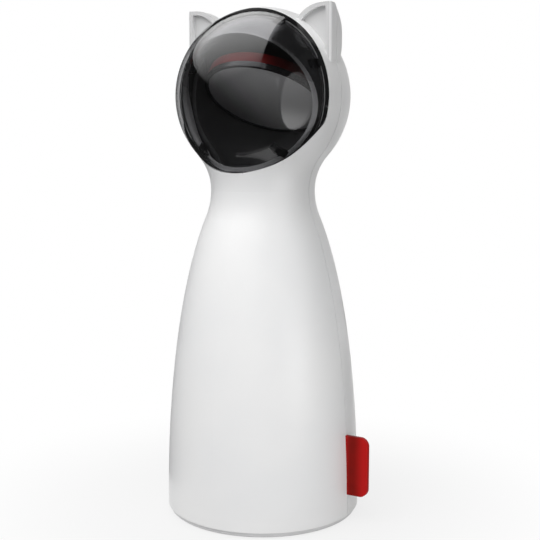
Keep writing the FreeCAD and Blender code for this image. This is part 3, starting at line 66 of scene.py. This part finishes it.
def opaque(colour):
    """A plain colour with its alpha. A pattern stays as it is."""
    return (*colour, 1.0) if isinstance(colour, tuple) else colour


class Finish:
    """A material and the nodes that make it, or the studio's surround. Patterns are laid in metres."""

    def __init__(self, name, surround=False):
        self.material = bpy.data.worlds.new(name) if surround else bpy.data.materials.new(name)
        self.material.use_nodes = True
        self.tree = self.material.node_tree
        self.tree.nodes.clear()
        output = "ShaderNodeOutputWorld" if surround else "ShaderNodeOutputMaterial"
        self.output = self.tree.nodes.new(output)
        self.place = self.add("ShaderNodeTexCoord", out="Generated" if surround else "Object")

    def add(self, kind, settings=None, sockets=None, out=0):
        """One node: its settings come first, then the values or links of its sockets."""
        node = self.tree.nodes.new(kind)
        for name, setting in (settings or {}).items():
            setattr(node, name, setting)
        for name, given in (sockets or {}).items():
            if isinstance(given, Value):
                self.tree.links.new(given.socket, node.inputs[name])
            else:
                node.inputs[name].default_value = given
        return Value(self, node.outputs[out])

    def noise(self, grain, detail=2.0, roughness=0.5, place=None):
        """A soft pattern whose lumps are about this many metres across, from 0 to 1."""
        return self.add("ShaderNodeTexNoise", None, {
            "Vector": place or self.place, "Scale": 1.0 / grain, "Detail": detail, "Roughness": roughness})

    def moulded(self, grain=0.25 * MM):
        """The two patterns of a moulding: faint clouds, and the fine spark texture of its mould."""
        return self.noise(18 * MM, 3.0), self.noise(grain, 3.0, 0.6)

    def blend(self, share, first, second):
        """The first colour, and more of the second as the share grows."""
        return self.add("ShaderNodeMix", {"data_type": "RGBA"}, {
            "Factor": share, MIX_FIRST_COLOUR: opaque(first), MIX_SECOND_COLOUR: opaque(second)},
            out=MIX_COLOUR_OUT)

    def along(self, axis):
        return self.add("ShaderNodeSeparateXYZ", None, {0: self.place}, out=axis)

    def along_way(self, way):
        return self.add("ShaderNodeVectorMath", {"operation": "DOT_PRODUCT"}, {
            0: self.place, 1: tuple(way)}, out="Value")

    def away_from(self, point):
        return self.add("ShaderNodeVectorMath", {"operation": "DISTANCE"}, {
            0: self.place, 1: tuple(point)}, out="Value")

    def bump(self, pattern, depth, under=None):
        """The surface's normal with this pattern raised by a depth in metres."""
        sockets = {"Strength": 1.0, "Distance": depth, "Height": pattern}
        if under:
            sockets["Normal"] = under
        return self.add("ShaderNodeBump", None, sockets)

    def principled(self, **sockets):
        """A Principled shader. Its sockets are named here in lower case, with underscores."""
        named = {}
        for name, given in sockets.items():
            named[name.replace("_", " ").title().replace("Ior", "IOR")] = opaque(given)
        return self.add("ShaderNodeBsdfPrincipled", None, named)

    def glow(self, strength):
        return self.add("ShaderNodeEmission", None, {"Color": PURE_WHITE, "Strength": strength})

    def mixed(self, share, first, second):
        """The first shader, and more of the second as the share grows."""
        return self.add("ShaderNodeMixShader", None, {0: share, 1: first, 2: second})

    def surface(self, **sockets):
        """The finish's shader, from its sockets' values, on the output."""
        return self.show(self.principled(**sockets))

    def show(self, shader):
        self.tree.links.new(shader.socket, self.output.inputs["Surface"])
        return self.material


# Finishes of the part. Colours are linear.

GLOSS_SPREAD = 0.05


def moulded_plastic(name, colour, shade, roughness, grain=0.25 * MM, depth=0.004 * MM):
    """A moulded plastic: fine spark texture in the mould, faint clouds in the colour and in the gloss."""
    made = Finish(name)
    clouds, fine = made.moulded(grain)
    return made.surface(
        base_color=made.blend(clouds.between(0.35, 0.65), colour, shade),
        roughness=clouds.between(0.3, 0.7, roughness - GLOSS_SPREAD, roughness + GLOSS_SPREAD),
        normal=made.bump(fine, depth))


DARKER_UP_TO = 20 * MM


def white_shell():
    """Satin white moulding, faintly rippled, and a touch darker towards the foot."""
    made = Finish("white_shell_finish")
    clouds = made.noise(40 * MM, 2.0)
    fine = made.noise(0.3 * MM, 3.0, 0.6)
    ripple = made.noise(9 * MM, 2.0)
    # A touch darker over the lowest part, by height alone.
    darker_towards_foot = made.along("Z").between(0.0, DARKER_UP_TO, 1.0, 0.0)
    clean = made.blend(clouds.between(0.35, 0.65), (0.80, 0.80, 0.80), (0.775, 0.778, 0.782))
    return made.surface(
        base_color=made.blend(darker_towards_foot * 0.25, clean, (0.70, 0.695, 0.685)),
        roughness=ripple.between(0.3, 0.7, 0.30, 0.36),
        specular_ior_level=0.5,
        normal=made.bump(fine, 0.0025 * MM, made.bump(ripple, 0.01 * MM)))


def shaded_ear_hollow():
    """The sunk front of an ear: darker than the shell as painted shade in the recess, and less glossy; set
    to match the photo.
    """
    # Painted shade: the hollow's white is darker than the shell's.
    return moulded_plastic("ear_hollow_painted_shade_finish", (0.56, 0.56, 0.563), (0.54, 0.54, 0.543), 0.55,
                           depth=0.006 * MM)


HEAD_ON_GLOSS = 0.04


def clear_shell(name, tint, grain, polish):
    """Clear plastic: at a slant it reflects more, and its tint is deeper for what goes through it."""
    made = Finish(name)
    smear = made.noise(grain, 4.0)
    thin = made.add("ShaderNodeBsdfTransparent", None, {"Color": opaque(tint)})
    red_with_painted_shade = made.add("ShaderNodeBsdfTransparent", None, {"Color": opaque(tuple(part ** 2 for part in tint))})
    gloss = made.principled(base_color=(1.0, 1.0, 1.0), metallic=1.0,
                            roughness=smear.between(0.3, 0.7, polish, 2 * polish))
    slant = made.add("ShaderNodeLayerWeight", None, {"Blend": 0.5}, out="Facing")
    through = made.mixed(slant ** 4, thin, red_with_painted_shade)
    return made.show(made.mixed(HEAD_ON_GLOSS + slant ** 5 * (1.0 - HEAD_ON_GLOSS), through, gloss))


def smoked_dome():
    return clear_shell("smoked_dome_finish", (0.73, 0.73, 0.735), 6 * MM, 0.012)


def dark_moulding():
    """Dark grey with a metal sheen."""
    made = Finish("dark_moulding_finish")
    clouds, fine = made.moulded()
    return made.surface(
        base_color=made.blend(clouds.between(0.35, 0.65), (0.13, 0.13, 0.133), (0.12, 0.12, 0.123)),
        metallic=0.9, roughness=clouds.between(0.3, 0.7, 0.14, 0.18), normal=made.bump(fine, 0.0003 * MM))


def dome_edge():
    """The dome's cut rim and its tabs, where the smoke tint is looked at end on and reads black."""
    return moulded_plastic("dome_edge_finish", (0.010, 0.010, 0.011), (0.015, 0.015, 0.016), 0.18,
                           depth=0.001 * MM)


# The mask's oval window: its half width, half height and middle. The lip, a painted highlight along
# the window's edge, reaches out to these multiples of the window's squared radius, more below, and
# its painted light fades between the two heights, brightest low down.
WINDOW_WIDE, WINDOW_TALL, WINDOW_HEIGHT = 29.85 * MM, 25.7 * MM, 168.8 * MM
LIP_REACH_BELOW, LIP_REACH_BESIDE = 1.16, 1.075
LIP_WIDE_UNDER, LIP_NARROW_OVER = 144 * MM, 154 * MM
LIP_HIGHLIGHT_FADES_FROM, LIP_HIGHLIGHT_FADED_AT = 160 * MM, 192 * MM


def mask_moulding():
    """The dark moulding with a lighter satin lip round its oval window: a painted highlight, brightest low
    down.
    """
    made = Finish("mask_moulding_finish")
    clouds, fine = made.moulded()
    height = made.along("Z")
    oval = (made.along("X") / WINDOW_WIDE) ** 2 + ((height - WINDOW_HEIGHT) / WINDOW_TALL) ** 2
    reach = height.between(LIP_WIDE_UNDER, LIP_NARROW_OVER, LIP_REACH_BELOW, LIP_REACH_BESIDE)
    # Painted highlight round the window, fading upward as painted light.
    lip_highlight = (reach - oval).between(0.0, 0.012) * height.between(LIP_HIGHLIGHT_FADES_FROM, LIP_HIGHLIGHT_FADED_AT, 1.0, 0.12)
    face = made.blend(clouds.between(0.35, 0.65), (0.27, 0.27, 0.275), (0.25, 0.25, 0.255))
    return made.surface(
        base_color=made.blend(lip_highlight, face, (0.97, 0.97, 0.98)), metallic=0.9 - lip_highlight * 0.8,
        roughness=clouds.between(0.3, 0.7, 0.16, 0.19) + lip_highlight * 0.15, normal=made.bump(fine, 0.0001 * MM))


def bowl_moulding():
    return moulded_plastic("bowl_moulding_finish", (0.080, 0.080, 0.082), (0.095, 0.095, 0.097), 0.38)


# The mirror's film is painted from dark to light along this way, which isn't of unit length, between
# these two sums of the place with it: a painted reflection, shaded at one side and lit at the other
FILM_SHADE_WAY = (1.0, -0.35, -0.6)
FILM_SHADED_AT, FILM_LIT_AT = -126 * MM, -98 * MM


def silvered_mirror():
    """Hazed film on plastic: mostly a satin grey, with a painted reflection from dark to light across it.
    """
    made = Finish("silvered_mirror_finish")
    haze = made.noise(5 * MM, 4.0)
    # Painted reflection: the film's grey goes from shaded to lit across the mirror.
    film_shade = made.blend(made.along_way(FILM_SHADE_WAY).between(FILM_SHADED_AT, FILM_LIT_AT),
                      (0.24, 0.24, 0.244), (0.97, 0.97, 0.97))
    return made.surface(base_color=film_shade, metallic=0.15, roughness=haze.between(0.3, 0.7, 0.38, 0.44))


# The cup's red darkens between these two places along X: painted shade where the mask hides it at rest.
CUP_UNSHADED_UP_TO, CUP_SHADED_FROM = 4 * MM, 16 * MM


def red_cup():
    """Deep red, with painted shade on the side that is behind the mask at rest."""
    made = Finish("red_cup_finish")
    clouds, fine = made.moulded()
    # Painted shade on the cup's side behind the mask.
    red_with_painted_shade = made.blend(made.along("X").between(CUP_UNSHADED_UP_TO, CUP_SHADED_FROM),
                      (0.36, 0.007, 0.007), (0.06, 0.002, 0.002))
    clouded = made.blend(clouds.between(0.35, 0.65, 0.0, 0.15), red_with_painted_shade, (0.18, 0.004, 0.004))
    return made.surface(base_color=clouded, roughness=clouds.between(0.3, 0.7, 0.27, 0.37),
                        normal=made.bump(fine, 0.004 * MM))


# The tag is painted lighter at its root and at its tip: painted light, fading over these spans along X.
TAG_LIT_ROOT_FROM, TAG_LIT_ROOT_TO = 37.5 * MM, 41.5 * MM
TAG_LIT_TIP_FROM, TAG_LIT_TIP_TO = 42.5 * MM, 47.5 * MM


def red_tag():
    """Soft red silicone: fine matt grain, painted lighter at its root at the housing and at its tip, so
    darkest between them.
    """
    made = Finish("red_tag_finish")
    across = made.along("X")
    # Painted light at the root and at the tip.
    lit_root = across.between(TAG_LIT_ROOT_FROM, TAG_LIT_ROOT_TO, 1.0, 0.0)
    lit_tip = across.between(TAG_LIT_TIP_FROM, TAG_LIT_TIP_TO)
    fine = made.noise(0.35 * MM, 3.0, 0.65)
    clouds = made.noise(6 * MM, 2.0)
    middle = made.blend(clouds.between(0.35, 0.65), (0.20, 0.004, 0.002), (0.18, 0.004, 0.002))
    with_lit_tip = made.blend(lit_tip, middle, (0.40, 0.006, 0.006))
    return made.surface(
        base_color=made.blend(lit_root * 0.8, with_lit_tip, (0.55, 0.018, 0.018)), specular_ior_level=0.12,
        roughness=fine.between(0.3, 0.7, 0.42, 0.55), normal=made.bump(fine, 0.02 * MM))


def foam_rubber():
    return moulded_plastic("foam_rubber_finish", (0.016, 0.016, 0.016), (0.024, 0.024, 0.024), 0.85,
                           grain=0.8 * MM, depth=0.06 * MM)


def bright_metal(name, colour, shade, roughness):
    """Plated or turned metal: fine lines drawn out along Z and faint tarnish."""
    made = Finish(name)
    drawn_out = made.add("ShaderNodeVectorMath", {"operation": "MULTIPLY"}, {
        0: made.place, 1: (1.0, 1.0, 0.08)})
    lines = made.noise(0.25 * MM, 4.0, 0.7, drawn_out)
    clouds = made.noise(4 * MM, 3.0)
    return made.surface(base_color=made.blend(clouds.between(0.35, 0.7), colour, shade), metallic=1.0,
                        roughness=lines.between(0.25, 0.75, roughness - 0.08, roughness + 0.1),
                        normal=made.bump(lines, 0.003 * MM))


def printed_board():
    """Green solder mask with lighter tracks under it."""
    made = Finish("printed_board_finish")
    tracks = made.add("ShaderNodeTexVoronoi", {"distance": "MANHATTAN", "feature": "DISTANCE_TO_EDGE"}, {
        "Vector": made.place, "Scale": 320.0})
    edge = tracks.between(0.05, 0.09, 1.0, 0.0)
    return made.surface(base_color=made.blend(edge, (0.008, 0.085, 0.035), (0.03, 0.20, 0.08)),
                        roughness=0.3 + made.noise(2 * MM) * 0.15, normal=made.bump(edge, 0.03 * MM))


WRAP_DARK_UP_TO, WRAP_COPPER_FROM = 51.5 * MM, 51.8 * MM


def cell_wrap():
    """A plain wrap: dark below a copper-coloured top band."""
    made = Finish("cell_wrap_finish")
    band = made.along("Z").between(WRAP_DARK_UP_TO, WRAP_COPPER_FROM)
    worn = made.noise(5 * MM, 3.0)
    return made.surface(base_color=made.blend(band, (0.022, 0.024, 0.028), (0.62, 0.30, 0.13)),
                        metallic=band * 0.8, roughness=worn.between(0.3, 0.7, 0.25, 0.35))


def clear_lens():
    return clear_shell("clear_lens_finish", (0.93, 0.95, 0.97), 1 * MM, 0.01)


def finishes():
    """Each finish and the CAD nodes that have it."""
    black = moulded_plastic("black_moulding_finish", (0.012, 0.012, 0.013), (0.018, 0.018, 0.02), 0.45)
    nylon = moulded_plastic("natural_nylon_finish", (0.72, 0.71, 0.66), (0.66, 0.65, 0.60), 0.42)
    grey = moulded_plastic("grey_moulding_finish", (0.26, 0.26, 0.265), (0.235, 0.235, 0.24), 0.42)
    foot = moulded_plastic("foot_ring_finish", (0.66, 0.66, 0.665), (0.63, 0.63, 0.635), 0.42)
    red_lead = moulded_plastic("red_lead_finish", (0.50, 0.02, 0.02), (0.42, 0.015, 0.015), 0.45)
    steel = bright_metal("plated_steel_finish", (0.60, 0.60, 0.61), (0.50, 0.50, 0.52), 0.30)
    brass = bright_metal("turned_brass_finish", (0.72, 0.52, 0.22), (0.60, 0.42, 0.17), 0.28)
    return {
        white_shell(): ("front_shell", "rear_cover", "battery_door"),
        smoked_dome(): ("dome_window",),
        mask_moulding(): ("dome_mask",),
        dark_moulding(): ("mirror_bezel",),
        bowl_moulding(): ("mirror_bowl",),
        silvered_mirror(): ("mirror_glass",),
        red_cup(): ("mirror_cup",),
        red_tag(): ("red_tag",),
        foot: ("base_plate",),
        grey: ("battery_tray", "power_knob"),
        foam_rubber(): ("anti_slip_mat",),
        nylon: ("spinner_hub", "output_gear", "idler_gear", "motor_cap", "lead_plugs"),
        black: ("mirror_deck", "motor_bridge", "laser_holder", "controller_chip", "capacitor",
                "laser_leads"),
        steel: ("tilt_pin", "idler_axle", "motor_can", "motor_shaft", "contact_springs", "contact_plates",
                "usb_socket", "slide_switch", "housing_screws", "ear_screws", "base_screws",
                "gearbox_screws", "holder_screws", "board_screws", "door_screw"),
        brass: ("motor_pinion", "output_bush", "motor_bush", "laser_barrel"),
        printed_board(): ("circuit_board", "laser_board"),
        cell_wrap(): ("aa_cells",),
        clear_lens(): ("laser_lens",),
        red_lead: ("motor_leads", "battery_leads"),
    }


SMOOTH_UNDER = math.radians(28)


def dress(node, material):
    """Give a CAD node its finish and smooth shading over its rounded faces."""
    node.data.materials.clear()
    node.data.materials.append(material)
    node.data.polygons.foreach_set("material_index", [0] * len(node.data.polygons))
    node.data.polygons.foreach_set("use_smooth", [True] * len(node.data.polygons))
    node.data.set_sharp_from_angle(angle=SMOOTH_UNDER)


def refinish(node, material, chosen):
    """Give some faces of a node a finish of their own. They are chosen by middle, in mm, and normal."""
    mesh = node.data
    middles = np.empty(3 * len(mesh.polygons), np.float32)
    normals = np.empty_like(middles)
    mesh.polygons.foreach_get("center", middles)
    mesh.polygons.foreach_get("normal", normals)
    picked = chosen(middles.reshape(-1, 3) / MM, normals.reshape(-1, 3))
    mesh.materials.append(material)
    slots = np.where(picked, len(mesh.materials) - 1, 0).astype(np.int32)
    mesh.polygons.foreach_set("material_index", slots)


# Where those faces are, in mm: the head's middle, the dome's inside radius and back face, and the
# round cut under the dome; and what tells the ears from the rest of the head
HEAD_MIDDLE = (0.0, 0.0, 171.1)
DOME_INSIDE = 33.7
DOME_BACK = -8.65
DOME_CUT_RADIUS, DOME_CUT_HEIGHT = 36.65, 177.9
EARS_ABOVE, EARS_OUTSIDE, HOLLOW_DEEPER_THAN = 188.0, 15.0, 0.3


def on_dome_edge(middles, normals):
    """The cut rim of the dome, and the tabs behind it."""
    from_head = np.linalg.norm(middles - np.array(HEAD_MIDDLE), axis=1)
    tabs = from_head < DOME_INSIDE
    back = (np.abs(middles[:, 1] - DOME_BACK) < 0.05) & (np.abs(normals[:, 1]) > 0.9)
    from_axis = np.hypot(middles[:, 0], middles[:, 2] - DOME_CUT_HEIGHT)
    low_cut = (np.abs(from_axis - DOME_CUT_RADIUS) < 0.15) & (np.abs(normals[:, 1]) < 0.2)
    return tabs | back | low_cut


def in_ear_hollows(middles, normals):
    """The sunk faces at the front of the two ears."""
    on_ears = (middles[:, 2] > EARS_ABOVE) & (np.abs(middles[:, 0]) > EARS_OUTSIDE)
    forward = on_ears & (normals[:, 1] < -0.9)
    rim = middles[forward, 1].min()
    return forward & (middles[:, 1] > rim + HOLLOW_DEEPER_THAN)


for finish, names in finishes().items():
    for name in names:
        dress(nodes[name], finish)
refinish(nodes["dome_window"], dome_edge(), on_dome_edge)
refinish(nodes["front_shell"], shaded_ear_hollow(), in_ear_hollows)


# Camera at the photograph's angle

CAMERA_TURN = math.radians(30.5)
CAMERA_PITCH = math.radians(7.387)
CAMERA_REACH = 0.41527
CAMERA_HEIGHT = 0.154175
CAMERA_LENS, CAMERA_SENSOR = 67.34, 36
AXIS_LEFT_OF_MIDDLE = 7 / 540

camera = bpy.data.objects.new("camera", bpy.data.cameras.new("camera"))
bpy.context.scene.collection.objects.link(camera)
camera.location = (
    math.sin(CAMERA_TURN) * CAMERA_REACH, -math.cos(CAMERA_TURN) * CAMERA_REACH, CAMERA_HEIGHT)
camera.rotation_euler = (math.radians(90) - CAMERA_PITCH, 0, CAMERA_TURN)
camera.data.lens = CAMERA_LENS
camera.data.sensor_width = CAMERA_SENSOR
camera.data.shift_x = AXIS_LEFT_OF_MIDDLE
camera.data.clip_start = 0.01
bpy.context.scene.camera = camera


# Studio: a pale floor, a white surround, softboxes that only light, and cards that only reflect

def seen_directly(made):
    """1 where the camera looks at a surface itself, in a reflection or through something clear."""
    rays = [made.add("ShaderNodeLightPath", out=name) for name in (
        "Is Camera Ray", "Is Glossy Ray", "Is Transmission Ray")]
    return made.add("ShaderNodeMath", {"operation": "MINIMUM"}, {0: rays[0] + rays[1] + rays[2], 1: 1.0})


def flat_face(name, corners):
    """One flat face for the studio."""
    mesh = bpy.data.meshes.new(name)
    mesh.from_pydata(corners, [], [tuple(range(len(corners)))])
    item = bpy.data.objects.new(name, mesh)
    bpy.context.scene.collection.objects.link(item)
    return item


def sheet_of(name, corner, across, up):
    """A rectangle of the studio from one corner and its two sides."""
    corner, across, up = Vector(corner), Vector(across), Vector(up)
    item = flat_face(name, [corner, corner + across, corner + across + up, corner + up])
    return item


FLOOR_HALF = 3.0
SHADOW_FROM, SHADOW_REACH = 0.03, 0.16
PLAIN_WHITE_NEAR = 0.80


def floor():
    """White paper. Seen itself it is plain white, but for the shadow near the base."""
    item = sheet_of("floor", (-FLOOR_HALF, -FLOOR_HALF, 0), (2 * FLOOR_HALF, 0, 0), (0, 2 * FLOOR_HALF, 0))
    made = Finish("floor_finish")
    clouds = made.noise(0.5, 2.0)
    paper = made.principled(base_color=made.blend(clouds, (0.50, 0.50, 0.50), (0.48, 0.48, 0.48)),
                            roughness=0.9, specular_ior_level=0.0)
    plain = made.away_from((0.0, 0.0, 0.0)).between(SHADOW_FROM, SHADOW_REACH, PLAIN_WHITE_NEAR, 1.0)
    item.data.materials.append(made.show(made.mixed(seen_directly(made) * plain, paper, made.glow(1.0))))


SURROUND_WAY = (-0.35, -0.75, 0.55)
SHADE_LOW, SHADE_HIGH = 0.0, 0.54


def surround():
    """A white room. Its light on the object comes from above the front left, and none from the back."""
    made = Finish("surround", surround=True)
    bpy.context.scene.world = made.material
    toward = made.along_way(Vector(SURROUND_WAY).normalized())
    shade = toward.between(-0.4, 0.8, SHADE_LOW, SHADE_HIGH)
    seen = seen_directly(made)
    made.show(made.add("ShaderNodeBackground", None, {
        "Color": PURE_WHITE, "Strength": shade * (1.0 - seen) + seen}))


def reflected_card(item, shade, peak=1.0):
    """Make a face glow, plainly or by a pattern of its finish, and let only reflections show it."""
    made = Finish(item.name + "_finish")
    share = shade(made) if callable(shade) else shade
    item.data.materials.append(made.show(made.mixed(share, made.glow(0.0), made.glow(peak))))
    item.visible_camera = False
    item.visible_diffuse = False
    item.visible_transmission = False
    item.visible_volume_scatter = False
    item.visible_shadow = False


def dark_flag(name, corner, across, up, shade=0.03):
    reflected_card(sheet_of(name, corner, across, up), shade)


def softbox(name, corner, across, up, radiance):
    """A rectangular lamp from one corner and its two sides. It lights, and reflections don't show it."""
    corner, across, up = Vector(corner), Vector(across), Vector(up)
    lamp = bpy.data.lights.new(name, "AREA")
    lamp.shape = "RECTANGLE"
    lamp.size = across.length
    lamp.size_y = up.length
    lamp.energy = radiance * math.pi * across.length * up.length
    item = bpy.data.objects.new(name, lamp)
    bpy.context.scene.collection.objects.link(item)
    x = across.normalized()
    z = across.cross(up).normalized()
    turn = Matrix((x, z.cross(x), z)).transposed()
    item.matrix_world = Matrix.Translation(corner + (across + up) / 2) @ turn.to_4x4()
    item.visible_glossy = False
    item.visible_camera = False


CARD_CORNER = Vector((-0.452, -0.678, 0.285))
CARD_ACROSS = Vector((0.731, 0.109, 0.346))
CARD_UP = Vector((-0.366, 1.151, 0.322))


def key_card():
    """The large pale shape at the top of the dome, and the dark flag that ends it on the right."""
    hot = CARD_CORNER + CARD_ACROSS * 0.7 + CARD_UP * 0.65
    card = sheet_of("key_card", CARD_CORNER, CARD_ACROSS, CARD_UP)
    reflected_card(card, lambda made: made.away_from(hot).between(0.2, 0.92, 1.0, 0.04), 3.0)
    flag_corner = CARD_CORNER + CARD_ACROSS - CARD_UP * 0.5
    dark_flag("key_flag", flag_corner, CARD_ACROSS * 1.5, CARD_UP * 1.9)


DISC_MIDDLE = (0.16, -0.060, 0.145)
DISC_HALF_WIDE, DISC_HALF_TALL, DISC_SIDES = 0.066, 0.106, 64


def side_card():
    """The pale disc that the dome shows over the mirror's right end, brighter low down."""
    turns = [2 * math.pi * step / DISC_SIDES for step in range(DISC_SIDES)]
    x, y, z = DISC_MIDDLE
    rim = [(x, y + DISC_HALF_WIDE * math.cos(turn), z + DISC_HALF_TALL * math.sin(turn)) for turn in turns]
    item = flat_face("side_card", rim)
    reflected_card(item, lambda made: made.along("Z").between(0.06, 0.15, 1.0, 0.32), 2.5)


floor()
surround()
key_card()
side_card()
softbox("key_softbox", (-0.48, -0.70, 0.555), (0.8, -0.04, 0.0), (0.02, 0.59, 0.37), 3.1)
softbox("front_softbox", (0.02, -0.93, 0.10), (0.65, 0.30, 0.0), (0.0, -0.02, 0.40), 0.95)
softbox("back_softbox", (-0.32, 0.90, 0.10), (-0.55, -0.55, 0.0), (0.0, 0.0, 0.6), 2.8)
softbox("low_softbox", (0.17, -0.13, 0.0), (0.05, 0.14, 0.0), (0.0, 0.0, 0.08), 2.5)
dark_flag("front_flag", (-1.4, -0.85, 0.003), (2.5, 0.0, 0.0), (0.0, -0.3, 1.3))
dark_flag("floor_flag", (-1.4, -0.9, 0.002), (2.6, 0.0, 0.0), (0.0, 0.84, 0.0))
dark_flag("left_floor_flag", (-1.4, -0.06, 0.002), (1.34, 0.0, 0.0), (0.0, 0.9, 0.0))
dark_flag("right_floor_flag", (0.06, -0.06, 0.002), (1.2, 0.0, 0.0), (0.0, 0.6, 0.0), 0.08)
dark_flag("left_flag", (-1.3, -1.0, 0.003), (0.0, 2.6, 0.0), (0.0, 0.0, 2.2), 0.04)
dark_flag("back_flag", (-1.4, 1.5, 0.8), (2.6, 0.0, 0.0), (0.0, 0.0, 2.0), 0.10)
dark_flag("right_flag", (1.2, -1.0, 0.003), (-0.15, 2.4, 0.0), (0.0, 0.0, 2.4), 0.06)

bpy.context.scene.view_settings.view_transform = "Standard"
